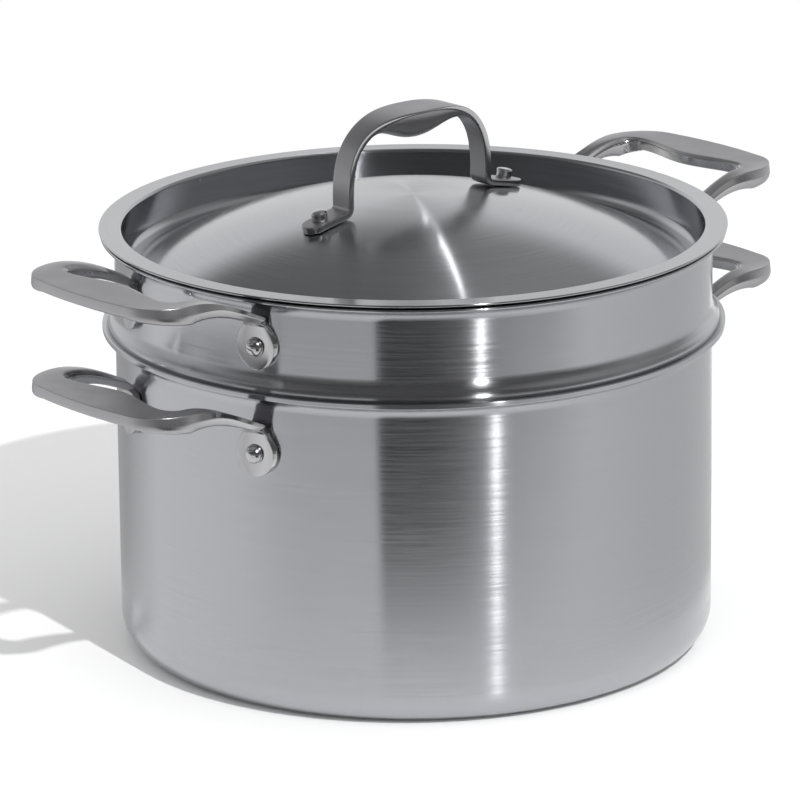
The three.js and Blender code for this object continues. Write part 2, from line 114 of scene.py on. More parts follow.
# Lid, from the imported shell's flange and the top of its dome
LID_WALL = 1
LID_BEND_RADIUS = 1.5
LID_WALL_CLEARANCE = 0.7
GUTTER_RADIUS = 5
SEAT_GAP = 0.3
LID_OUTER = LID_HIGH.x
LID_TOP = INSERT_TOP + SEAT_GAP + LID_WALL
DOME_TOP = LID_HIGH.z
LID_DROP_INNER = COLLAR_INNER - LID_WALL_CLEARANCE - LID_WALL
GUTTER_R = LID_DROP_INNER - GUTTER_RADIUS
GUTTER_Z = LID_LOW.z + LID_WALL + GUTTER_RADIUS
GUTTER_FALL = DOME_TOP - GUTTER_Z
GUTTER_SPREAD = GUTTER_R ** 2 + GUTTER_FALL ** 2 - GUTTER_RADIUS ** 2
DOME_RADIUS = GUTTER_SPREAD / (2 * (GUTTER_FALL + GUTTER_RADIUS))
DOME_CENTRE_Z = DOME_TOP - DOME_RADIUS

# Lid handle
ARCH_SPAN = 84
ARCH_HEIGHT = 38
ARCH_POWER = 2.9
ARCH_THICKNESS = 3.2
ARCH_WIDTH = 11.2
ARCH_EDGE = 0.6
ARCH_EASE = 0.3
GRIP_WIDTH = 20
GRIP_HALF_LENGTH = 40
GRIP_RIM = 1.3
SWELL_DEPTH = 10.3
SWELL_HALF_LENGTH = 37
BELLY_POLISH = 0.35
FOOT_FILLET = 1.5
FOOT_LENGTH = 21
LID_RIVET_INSET = 9.7
FOOT_INNER = ARCH_SPAN / 2 + FOOT_FILLET
FOOT_TIP = FOOT_INNER + FOOT_LENGTH - FOOT_FILLET
LID_RIVET_R = FOOT_TIP - LID_RIVET_INSET
LID_RIVET_TILT = math.asin(LID_RIVET_R / DOME_RADIUS)

# Side handles
HANDLE_REACH = 57.5
HANDLE_SPAN = 96.5
HANDLE_BOW = 2
HANDLE_CORNER_RADIUS = 21
HANDLE_THICKNESS = 5.8
HANDLE_RISE = 26.2
SLOT_DEPTH = 37.3
SLOT_WIDTH = 74
SLOT_BOW = 5
SLOT_CORNER_RADIUS = 6.5
ARM_THICKNESS = 9.3
ARM_ROOT_RISE = 13.5
ARM_ROOT_RADIUS = 3
PAD_SPACING = 84
PAD_NECK_WIDTH = 10
PAD_RADIUS = 10
PAD_THICKNESS = 3.4

# Sections of a side handle, corner by corner: how far across from the slot side, -1, to the outside, 1,
# how deep below the upper face, what share of each edge the corner rounds off, and how polished it is
GRIP_SECTION = (
    (-1.0, 0.14, 0.16, 0.9),
    (-0.8, 0.0, 0.10, 0.0),
    (1.0, 0.0, 0.04, 0.0),
    (1.0, 0.78, 0.4, 0.1),
    (0.8, 1.0, 0.45, 0.2),
    (-0.9, 1.0, 0.14, 0.5),
)
ARM_SECTION = (
    (-1.0, 0.4, 0.45, 0.5),
    (-0.55, 0.0, 0.4, 0.1),
    (0.66, 0.0, 0.1, 0.7),
    (1.0, 0.3, 0.12, 1.0),
    (0.9, 0.9, 0.35, 0.6),
    (-0.7, 1.0, 0.45, 0.2),
)
PAD_SECTION = (
    (-1.0, 0.0, 0.1, 0.3),
    (0.0, 0.0, 0.3, 0.0),
    (1.0, 0.0, 0.1, 0.5),
    (1.0, 0.5, 0.2, 1.0),
    (0.87, 1.0, 0.16, 1.0),
    (-0.93, 1.0, 0.2, 0.4),
)

# Rivets: radii and heights of the shank, the thin base ring and the head
SIDE_RIVET = {"shank": 2.5, "collar": 4.3, "collar_height": 0.3, "head": 4.0, "dome": 2.9}
LID_RIVET = {"shank": 2.2, "collar": 3.5, "collar_height": 3.4, "head": 3.2, "dome": 0.6}
INNER_HEAD_RADIUS = 4.2
INNER_HEAD_HEIGHT = 1.5
RIVET_EDGE = 0.15
RIVET_SINK = 0.4

# Facets round the shells and rivets, and steps along bends, corners and stretches
SHELL_COLUMNS = 240
RIVET_COLUMNS = 40
BEND_STEPS = 14
DOME_STEPS = 40
CORNER_STEPS = 5
STRETCH_STEPS = 20
ARCH_STEPS = 60
BELLY_STEPS = 24
ON_AXIS = 1e-6
CREASE = math.radians(38)


def arc(r, z, radius, start, end, steps=BEND_STEPS):
    """Points of an arc in a profile of (radius, height), from one angle to another."""
    angles = [start + (end - start) * i / steps for i in range(steps + 1)]
    return [(r + radius * math.cos(a), z + radius * math.sin(a)) for a in angles]


def offset_face(profile, thickness):
    """The other face of a sheet: each profile point moved to its right by the sheet's thickness."""
    moved = []
    for i, at in enumerate(profile):
        before = profile[max(i - 1, 0)]
        after = profile[min(i + 1, len(profile) - 1)]
        along = Vector((after[0] - before[0], after[1] - before[1])).normalized()
        r = at[0] + along.y * thickness
        moved.append((0 if at[0] < ON_AXIS else r, at[1] - along.x * thickness))
    return moved


def turned(profile, columns=SHELL_COLUMNS):
    """Points and faces of a profile turned round the Z axis."""
    points, faces, rows = [], [], []
    for r, z in profile:
        first = len(points)
        if r < ON_AXIS:
            points.append((0, 0, z))
            rows.append([first] * columns)
            continue
        rows.append(list(range(first, first + columns)))
        for i in range(columns):
            angle = TAU * i / columns
            points.append((r * math.cos(angle), r * math.sin(angle), z))
    for low, high in zip(rows, rows[1:]):
        faces += ring_faces(low, high)
    return points, faces


def ring_faces(low, high):
    """Faces between two rings of points, triangles where a ring has shrunk to one point."""
    faces = []
    for i in range(len(low)):
        j = (i + 1) % len(low)
        faces.append(list(dict.fromkeys((low[i], low[j], high[j], high[i]))))
    return faces


def lofted(rings):
    """Points and faces of a skin over rings of points, with a cap at each end."""
    count = len(rings[0])
    points = [point for ring in rings for point in ring]
    rows = [list(range(i * count, (i + 1) * count)) for i in range(len(rings))]
    faces = [rows[0][::-1], rows[-1]]
    for low, high in zip(rows, rows[1:]):
        faces += ring_faces(low, high)
    return points, faces


def make_piece(node, body, slot, points, faces, place=None, polish=None, thickness=0, finish=None):
    """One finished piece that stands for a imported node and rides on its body."""
    mesh = bpy.data.meshes.new(node + "_fine")
    spot = place or Matrix.Identity(4)
    mesh.from_pydata([spot @ Vector(point) * MM for point in points], [], faces)
    if polish:
        mesh.attributes.new("polish", "FLOAT", "POINT").data.foreach_set("value", polish)
    shaped = bmesh.new()
    shaped.from_mesh(mesh)
    bmesh.ops.recalc_face_normals(shaped, faces=shaped.faces)
    shaped.to_mesh(mesh)
    shaped.free()
    mesh.shade_smooth()
    mesh.set_sharp_from_angle(angle=CREASE)
    mesh.materials.append(finish or FINISHES[slot])
    obj = bpy.data.objects.new(node + "_fine", mesh)
    bpy.context.collection.objects.link(obj)
    if thickness:
        sheet = obj.modifiers.new("sheet thickness", "SOLIDIFY")
        sheet.thickness = thickness * MM
        sheet.offset = -1
        sheet.use_even_offset = True
    weighted = obj.modifiers.new("flat faces stay flat", "WEIGHTED_NORMAL")
    weighted.keep_sharp = True
    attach(obj, body)
    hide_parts(node)
    return obj


# Materials
def linear(hex_colour):
    """An sRGB hex colour as linear red, green, blue and alpha."""
    shares = [int(hex_colour[i:i + 2], 16) / 255 for i in (1, 3, 5)]
    return tuple(c / 12.92 if c <= 0.04045 else ((c + 0.055) / 1.055) ** 2.4 for c in shares) + (1.0,)


def add_node(tree, kind, inputs=None, **settings):
    """A shader node with its settings, and its inputs set to values or linked to sockets."""
    node = tree.nodes.new(kind)
    for name, value in settings.items():
        setattr(node, name, value)
    for key, value in (inputs or {}).items():
        if isinstance(value, bpy.types.NodeSocket):
            tree.links.new(value, node.inputs[key])
        else:
            node.inputs[key].default_value = value
    return node


def new_material(name):
    """An empty material and its node tree."""
    material = bpy.data.materials.new(name)
    material.use_nodes = True
    material.node_tree.nodes.clear()
    return material, material.node_tree


def number_step(tree, operation, *values):
    """The result of one step of arithmetic on numbers."""
    return add_node(tree, "ShaderNodeMath", dict(enumerate(values)), operation=operation).outputs[0]


def vector_step(tree, operation, *values):
    """The result of one step of arithmetic on vectors: a number for a length or a dot product."""
    node = add_node(tree, "ShaderNodeVectorMath", dict(enumerate(values)), operation=operation)
    return node.outputs["Value" if operation in ("LENGTH", "DOT_PRODUCT") else "Vector"]


def remap(tree, value, span, low, high, curve="LINEAR"):
    """A value whose span is stretched to run from low to high, and which stays there beyond its ends."""
    return add_node(tree, "ShaderNodeMapRange", {
        "Value": value, "From Min": span[0], "From Max": span[1], "To Min": low, "To Max": high,
    }, interpolation_type=curve).outputs[0]


def between(tree, share, first, second):
    """A number that is a share of the way from one to another."""
    return add_node(tree, "ShaderNodeMix", {"Factor": share, 2: first, 3: second}).outputs[0]


def blend(tree, share, first, second):
    """A colour that is a share of the way from one to another, each a hex colour or a socket."""
    ends = [linear(end) if isinstance(end, str) else end for end in (first, second)]
    return add_node(
        tree, "ShaderNodeMix", {"Factor": share, 6: ends[0], 7: ends[1]}, data_type="RGBA",
    ).outputs[2]


# Most values of a noise lie in this span
NOISE_SPAN = (0.3, 0.7)

# Brushed stainless sheet: drawn and then polished with an abrasive belt while it turns, so fine lines run
# round the axis. The lines spread a highlight across themselves into long narrow streaks.
BRUSH_LINE = 0.8
BRUSH_LENGTH = 45
BRUSH_DETAIL = 3.0
BRUSH_BREAK = 0.8
BRUSH_SPAN = (0.35, 0.65)
SHEET_ROUGHNESS = 0.2
LID_ROUGHNESS = 0.15
BRUSH_SPREAD = 0.2
BRUSH_DEPTH = 0.0016
BRUSH_TURN = 0.25
STEEL_PALE = "#B4B5B9"
STEEL_DEEP = "#AFB0B4"


def brushed_sheet(name, roughness):
    material, tree = new_material(name)
    coords = add_node(tree, "ShaderNodeTexCoord").outputs["Object"]
    flat = vector_step(tree, "MULTIPLY", coords, (1, 1, 0))
    radius = vector_step(tree, "LENGTH", flat)
    height = add_node(tree, "ShaderNodeSeparateXYZ", {0: coords}).outputs["Z"]
    fine = 1 / (BRUSH_LINE * MM)
    slow = 1 / (BRUSH_LENGTH * MM)
    across = number_step(tree, "MULTIPLY", radius, fine)
    up = number_step(tree, "MULTIPLY", height, fine)
    along = vector_step(tree, "MULTIPLY", flat, (slow, slow, slow))
    lift = add_node(tree, "ShaderNodeCombineXYZ", {"Z": across}).outputs[0]
    where = vector_step(tree, "ADD", along, lift)
    lines = add_node(tree, "ShaderNodeTexNoise", {
        "Vector": where, "W": up, "Scale": 1.0, "Detail": BRUSH_DETAIL, "Roughness": BRUSH_BREAK,
    }, noise_dimensions="4D").outputs[0]
    spread = remap(tree, lines, BRUSH_SPAN, 0, 1)
    smoothest = roughness * (1 - BRUSH_SPREAD)
    roughest = roughness * (1 + BRUSH_SPREAD)
    rough = remap(tree, spread, (0, 1), smoothest, roughest)
    tone = blend(tree, spread, STEEL_DEEP, STEEL_PALE)
    bump = add_node(tree, "ShaderNodeBump", {
        "Height": lines, "Strength": 1.0, "Distance": BRUSH_DEPTH * MM,
    }).outputs[0]
    tangent = add_node(tree, "ShaderNodeTangent", direction_type="RADIAL", axis="Z").outputs[0]
    shader = add_node(tree, "ShaderNodeBsdfPrincipled", {
        "Base Color": tone, "Metallic": 1.0, "Roughness": rough, "Normal": bump, "Tangent": tangent,
        "Anisotropic": 1.0, "Anisotropic Rotation": BRUSH_TURN,
    }).outputs[0]
    add_node(tree, "ShaderNodeOutputMaterial", {"Surface": shader})
    return material


# Cast steel: poured, bead blasted to an even satin, with its edges then polished bright
CAST_GRAIN = 0.6
GRAIN_DETAIL = 2.0
CAST_CLOUD = 14
CLOUD_DETAIL = 3.0
CAST_ROUGHNESS = 0.4
CAST_SPREAD = 0.04
EDGE_ROUGHNESS = 0.13
CAST_DEPTH = 0.006
CAST_PALE = "#A2A1A5"
CAST_DEEP = "#9A999D"
EDGE_TONE = "#C0C0C1"


def blasted_casting():
    material, tree = new_material("blasted_stainless_casting")
    coords = add_node(tree, "ShaderNodeTexCoord").outputs["Object"]
    grain = add_node(tree, "ShaderNodeTexNoise", {
        "Vector": coords, "Scale": 1 / (CAST_GRAIN * MM), "Detail": GRAIN_DETAIL,
    }).outputs[0]
    cloud = add_node(tree, "ShaderNodeTexNoise", {
        "Vector": coords, "Scale": 1 / (CAST_CLOUD * MM), "Detail": CLOUD_DETAIL,
    }).outputs[0]
    polish = add_node(tree, "ShaderNodeAttribute", attribute_name="polish").outputs["Fac"]
    satin = remap(tree, cloud, NOISE_SPAN, CAST_ROUGHNESS - CAST_SPREAD, CAST_ROUGHNESS + CAST_SPREAD)
    rough = between(tree, polish, satin, EDGE_ROUGHNESS)
    blasted = blend(tree, cloud, CAST_DEEP, CAST_PALE)
    tone = blend(tree, polish, blasted, EDGE_TONE)
    bump = add_node(tree, "ShaderNodeBump", {
        "Height": grain, "Strength": 1.0, "Distance": CAST_DEPTH * MM,
    }).outputs[0]
    shader = add_node(tree, "ShaderNodeBsdfPrincipled", {
        "Base Color": tone, "Metallic": 1.0, "Roughness": rough, "Normal": bump,
    }).outputs[0]
    add_node(tree, "ShaderNodeOutputMaterial", {"Surface": shader})
    return material


# Rivet steel: cold headed wire, barrel polished, so it mirrors its surroundings with faint swirls
SWIRL_SIZE = 1.5
SWIRL_DETAIL = 3.0
SWIRL_TWIST = 1.0
RIVET_ROUGHNESS = 0.14
RIVET_SPREAD = 0.05
RIVET_PALE = "#C2C2C4"
RIVET_DEEP = "#B2B2B5"


def polished_wire():
    material, tree = new_material("polished_stainless_wire")
    coords = add_node(tree, "ShaderNodeTexCoord").outputs["Object"]
    swirl = add_node(tree, "ShaderNodeTexNoise", {
        "Vector": coords, "Scale": 1 / (SWIRL_SIZE * MM), "Detail": SWIRL_DETAIL,
        "Distortion": SWIRL_TWIST,
    }).outputs[0]
    rough = remap(tree, swirl, NOISE_SPAN, RIVET_ROUGHNESS - RIVET_SPREAD, RIVET_ROUGHNESS + RIVET_SPREAD)
    tone = blend(tree, swirl, RIVET_DEEP, RIVET_PALE)
    shader = add_node(tree, "ShaderNodeBsdfPrincipled", {
        "Base Color": tone, "Metallic": 1.0, "Roughness": rough,
    }).outputs[0]
    add_node(tree, "ShaderNodeOutputMaterial", {"Surface": shader})
    return material


FINISHES = {
    "brushed_steel": brushed_sheet("brushed_stainless_sheet", SHEET_ROUGHNESS),
    "cast_steel": blasted_casting(),
    "rivet_steel": polished_wire(),
}


# Pot body: a drawn shell with a rounded corner and a lip that flares out flat
LIP_EDGE = 0.5


def pot_profile():
    bottom_radius = POT_CORNER_RADIUS + POT_WALL
    corner_r = POT_OUTER - bottom_radius
    flare_z = POT_HEIGHT - POT_FLARE_RADIUS
    lip_r = POT_LIP - LIP_EDGE
    return [
        (0, 0),
        *arc(corner_r, bottom_radius, bottom_radius, -QUARTER, 0),
        *arc(POT_LIP, flare_z, POT_FLARE_RADIUS - POT_WALL, math.pi, QUARTER)[:-1],
        *arc(lip_r, POT_HEIGHT - POT_WALL + LIP_EDGE, LIP_EDGE, -QUARTER, 0, CORNER_STEPS),
        *arc(lip_r, POT_HEIGHT - LIP_EDGE, LIP_EDGE, 0, QUARTER, CORNER_STEPS),
        *arc(POT_LIP, flare_z, POT_FLARE_RADIUS, QUARTER, math.pi)[1:],
        *arc(corner_r, bottom_radius, POT_CORNER_RADIUS, 0, -QUARTER),
        (0, POT_WALL),
    ]


pot_piece = make_piece("pot_body", "pot", "brushed_steel", *turned(pot_profile()))


# Pasta insert: one perforated sheet, from the middle of the floor up the outside to the lip
def collar_profile():
    """Outside of the insert from the top of its basket wall to its lip."""
    flare_z = INSERT_TOP - INSERT_FLARE_RADIUS
    bead_r = COLLAR_OUTER + BEAD_REACH - BEAD_RADIUS
    seat_reach = POT_FLARE_RADIUS + BEAD_RADIUS + SEAT_GAP
    bead_z = POT_HEIGHT - POT_FLARE_RADIUS + math.sqrt(seat_reach ** 2 - (POT_LIP - bead_r) ** 2)
    fillet_r = COLLAR_OUTER + BEAD_FILLET
    fillet_z = bead_z + math.sqrt((BEAD_FILLET + BEAD_RADIUS) ** 2 - (fillet_r - bead_r) ** 2)
    lean = math.atan2(fillet_z - bead_z, fillet_r - bead_r)
    tuck_z = bead_z - BEAD_RADIUS - TUCK_RADIUS
    return [
        *arc(BASKET_OUTER + TUCK_RADIUS, tuck_z, TUCK_RADIUS, math.pi, QUARTER),
        *arc(bead_r, bead_z, BEAD_RADIUS, -QUARTER, lean),
        *arc(fillet_r, fillet_z, BEAD_FILLET, math.pi + lean, math.pi)[1:],
        *arc(INSERT_LIP, flare_z, INSERT_FLARE_RADIUS - INSERT_WALL, math.pi, QUARTER),
    ]


def round_point(r, z, column):
    """A point of a shell at a column, which need not be a whole number."""
    angle = TAU * column / SHELL_COLUMNS
    return (r * math.cos(angle), r * math.sin(angle), z)


def perforated_band(points, faces, low, high, bottom, top, holes, shift, rings):
    """Faces between two rows of points, with a round hole in each cell between them."""
    width = SHELL_COLUMNS // holes
    along = Vector((top[0] - bottom[0], top[1] - bottom[1]))
    middle = ((bottom[0] + top[0]) / 2, (bottom[1] + top[1]) / 2)
    column_mm = TAU * middle[0] / SHELL_COLUMNS
    shares = [i / CELL_STEPS for i in range(1, CELL_STEPS)]
    sides = {}
    for hole in range(holes):
        for column in (hole * width + shift, (hole + 1) * width + shift):
            if column % SHELL_COLUMNS not in sides:
                sides[column % SHELL_COLUMNS] = [len(points) + i for i in range(len(shares))]
                for share in shares:
                    r = bottom[0] + along.x * share
                    points.append(round_point(r, bottom[1] + along.y * share, column))
    for hole in range(holes):
        start = hole * width + shift
        end = start + width
        right = [(index, end, share - 0.5) for index, share in zip(sides[end % SHELL_COLUMNS], shares)]
        left = [(index, start, share - 0.5) for index, share in zip(sides[start % SHELL_COLUMNS], shares)]
        run = [(low[c % SHELL_COLUMNS], c, -0.5) for c in range(start, end + 1)] + right
        run += [(high[c % SHELL_COLUMNS], c, 0.5) for c in range(end, start - 1, -1)] + left[::-1]
        centre = (start + end) / 2
        outer = [index for index, _, _ in run]
        for step in range(1, rings + 1):
            inner = []
            for _, column, share in run:
                turn = math.atan2(share * along.length, (column - centre) * column_mm)
                rim_column = centre + HOLE_RADIUS * math.cos(turn) / column_mm
                rim_share = HOLE_RADIUS * math.sin(turn) / along.length
                at = column + (rim_column - column) * step / rings
                rise = share + (rim_share - share) * step / rings
                inner.append(len(points))
                points.append(round_point(middle[0] + along.x * rise, middle[1] + along.y * rise, at))
            faces += ring_faces(outer, inner)
            outer = inner


def insert_sheet():
    points, faces = [(0, 0, BASKET_BOTTOM)], []

    def ring(r, z):
        first = len(points)
        points.extend(round_point(r, z, column) for column in range(SHELL_COLUMNS))
        return list(range(first, first + SHELL_COLUMNS))

    half = FLOOR_RING_PITCH / 2
    at = (FLOOR_RINGS[-1][0] - half, BASKET_BOTTOM)
    row = ring(*at)
    faces += ring_faces([0] * SHELL_COLUMNS, row)
    for r, holes in reversed(FLOOR_RINGS):
        above = (r + half, BASKET_BOTTOM)
        next_row = ring(*above)
        perforated_band(points, faces, row, next_row, at, above, holes, 0, FLOOR_FACE_RINGS)
        at, row = above, next_row
    corner = arc(
        BASKET_OUTER - BASKET_CORNER_RADIUS, BASKET_BOTTOM + BASKET_CORNER_RADIUS,
        BASKET_CORNER_RADIUS, -QUARTER, 0,
    )
    for above in corner:
        next_row = ring(*above)
        faces += ring_faces(row, next_row)
        at, row = above, next_row
    for i in range(SIDE_ROWS):
        above = (BASKET_OUTER, at[1] + SIDE_ROW_PITCH)
        next_row = ring(*above)
        shift = (i % 2) * SHELL_COLUMNS // SIDE_HOLES // 2
        perforated_band(points, faces, row, next_row, at, above, SIDE_HOLES, shift, WALL_FACE_RINGS)
        at, row = above, next_row
    for above in collar_profile():
        next_row = ring(*above)
        faces += ring_faces(row, next_row)
        row = next_row
    return points, faces


insert_piece = make_piece(
    "pasta_insert", "insert", "brushed_steel", *insert_sheet(), thickness=INSERT_WALL,
)


# Lid shell: a flat flange, a drop wall, a gutter and a dome
def dome_height(r):
    return DOME_CENTRE_Z + math.sqrt(DOME_RADIUS ** 2 - r ** 2)


def lid_profile():
    edge_angle = math.asin(GUTTER_R / (DOME_RADIUS + GUTTER_RADIUS))
    bend_r = LID_DROP_INNER + LID_BEND_RADIUS
    half = LID_WALL / 2
    upper = [
        *arc(0, DOME_CENTRE_Z, DOME_RADIUS, QUARTER, QUARTER - edge_angle, DOME_STEPS),
        *arc(GUTTER_R, GUTTER_Z, GUTTER_RADIUS, -QUARTER - edge_angle, 0)[1:],
        *arc(bend_r, LID_TOP - LID_BEND_RADIUS, LID_BEND_RADIUS, math.pi, QUARTER),
        (LID_OUTER - half, LID_TOP),
    ]
    upper[0] = (0, DOME_TOP)
    lower = offset_face(upper, LID_WALL)
    rim = arc(LID_OUTER - half, LID_TOP - half, half, -QUARTER, QUARTER)
    return [*lower[:-1], *rim, *upper[-2::-1]]


lid_finish = brushed_sheet("finely_brushed_stainless_lid", LID_ROUGHNESS)
lid_piece = make_piece("lid_shell", "lid", "brushed_steel", *turned(lid_profile()), finish=lid_finish)


# Lid handle: a cast arch with a swelling under its grip and a riveted foot at each end
def arch_ring(at, outward, half_width, side, depth):
    """A ring across the arch: a flat face with eased edges, and a half-round belly below its sides."""
    edge = min(ARCH_EDGE, half_width / 2)
    ease = ARCH_EASE * edge
    inner = half_width - edge
    right = [(inner, 0), (half_width - ease, ease), (half_width, edge)]
    right += [(half_width, side - edge), (half_width - ease, side - ease)]
    bright = [0, 1, 1, 1, 1]
    belly = []
    for i in range(BELLY_STEPS + 1):
        angle = math.pi * i / BELLY_STEPS
        belly.append((inner * math.cos(angle), side + (depth - side) * math.sin(angle)))
    left = [(-across, down) for across, down in reversed(right)]
    section = right + belly + left
    shine = bright + [BELLY_POLISH] * len(belly) + bright[::-1]
    ring = [(at[0] - outward[0] * down, -across, at[1] - outward[1] * down) for across, down in section]
    return ring, shine


def arch_half():
    """Rings of half the lid handle, from the tip of the foot at -X up to the middle of the grip."""
    rings = []
    half = ARCH_WIDTH / 2
    lift = SEAT_GAP + ARCH_THICKNESS
    slope = LID_RIVET_TILT
    foot_normal = (-math.sin(slope), math.cos(slope))

    def foot_top(u):
        rise = dome_height(LID_RIVET_R) + lift / math.cos(slope)
        return rise - (u - LID_RIVET_R) * math.tan(slope)

    for i in range(1, BEND_STEPS + 1):
        angle = QUARTER * i / BEND_STEPS
        u = FOOT_TIP - half * (1 - math.cos(angle))
        width = half * math.sin(angle)
        rings.append(arch_ring((-u, foot_top(u)), foot_normal, width, ARCH_THICKNESS, ARCH_THICKNESS))
    turn_z = foot_top(FOOT_INNER) + FOOT_FILLET
    for i in range(BEND_STEPS + 1):
        angle = slope + (QUARTER - slope) * i / BEND_STEPS
        normal = (-math.sin(angle), math.cos(angle))
        at = (-FOOT_INNER - normal[0] * FOOT_FILLET, turn_z - normal[1] * FOOT_FILLET)
        rings.append(arch_ring(at, normal, half, ARCH_THICKNESS, ARCH_THICKNESS))
    for i in range(1, ARCH_STEPS + 1):
        theta = QUARTER * (i / ARCH_STEPS)
        x = max(math.cos(theta), 0) ** (2 / ARCH_POWER)
        z = math.sin(theta) ** (2 / ARCH_POWER)
        at = (-x * ARCH_SPAN / 2, turn_z + z * ARCH_HEIGHT)
        tilt = ARCH_POWER - 1
        normal = Vector((-(x ** tilt) / (ARCH_SPAN / 2), z ** tilt / ARCH_HEIGHT))
        normal.normalize()
        swell = math.cos(QUARTER * min(-at[0] / SWELL_HALF_LENGTH, 1)) ** 2
        widen = math.cos(QUARTER * min(-at[0] / GRIP_HALF_LENGTH, 1)) ** 2
        width = half + (GRIP_WIDTH - ARCH_WIDTH) / 2 * widen
        side = ARCH_THICKNESS + (GRIP_RIM - ARCH_THICKNESS) * swell
        rings.append(arch_ring(at, normal, width, side, ARCH_THICKNESS + SWELL_DEPTH * swell))
    return rings


def mirrored(rings, axis):
    """The same rings on the other side of the object, in the reverse order."""
    flip = [-1 if i == axis else 1 for i in range(3)]
    turned_over = []
    for ring, shine in reversed(rings):
        turned_over.append(([tuple(c * f for c, f in zip(p, flip)) for p in ring], shine))
    return turned_over


def make_loft(node, body, rings, place=None):
    points, faces = lofted([ring for ring, _ in rings])
    polish = [value for _, shine in rings for value in shine]
    return make_piece(node, body, "cast_steel", points, faces, place, polish)


arch = arch_half()
make_loft("lid_handle", "lid", arch + mirrored(arch[:-1], 0))


# Side handles: a flat grip on two arms that drop to pads on the wall
def mix_sections(first, second, share):
    mixed = []
    for a, b in zip(first, second):
        mixed.append(tuple(p + (q - p) * share for p, q in zip(a, b)))
    return mixed


def smooth(share):
    share = min(max(share, 0), 1)
    return share * share * (3 - 2 * share)


def rounded(corners):
    """Points round a section, with each corner eased into a small curve, and how polished each is."""
    points, shine = [], []
    for i, (across, depth, ease, bright) in enumerate(corners):
        before = corners[i - 1]
        after = corners[(i + 1) % len(corners)]
        start = (across + (before[0] - across) * ease, depth + (before[1] - depth) * ease)
        end = (across + (after[0] - across) * ease, depth + (after[1] - depth) * ease)
        for step in range(CORNER_STEPS + 1):
            t = step / CORNER_STEPS
            weights = ((1 - t) ** 2, 2 * t * (1 - t), t ** 2)
            points.append((
                weights[0] * start[0] + weights[1] * across + weights[2] * end[0],
                weights[0] * start[1] + weights[1] * depth + weights[2] * end[1],
            ))
            shine.append(bright)
    return points, shine


def handle_ring(place, thickness, section):
    """A ring of a side handle, whose place gives a point by its share across and its depth."""
    points, shine = rounded(section)
    return [place(across, depth * thickness) for across, depth in points], shine


def pad_angle(wall):
    """How far round from a handle's middle its pads sit, on a wall of a given radius."""
    return math.asin(PAD_SPACING / 2 / wall)


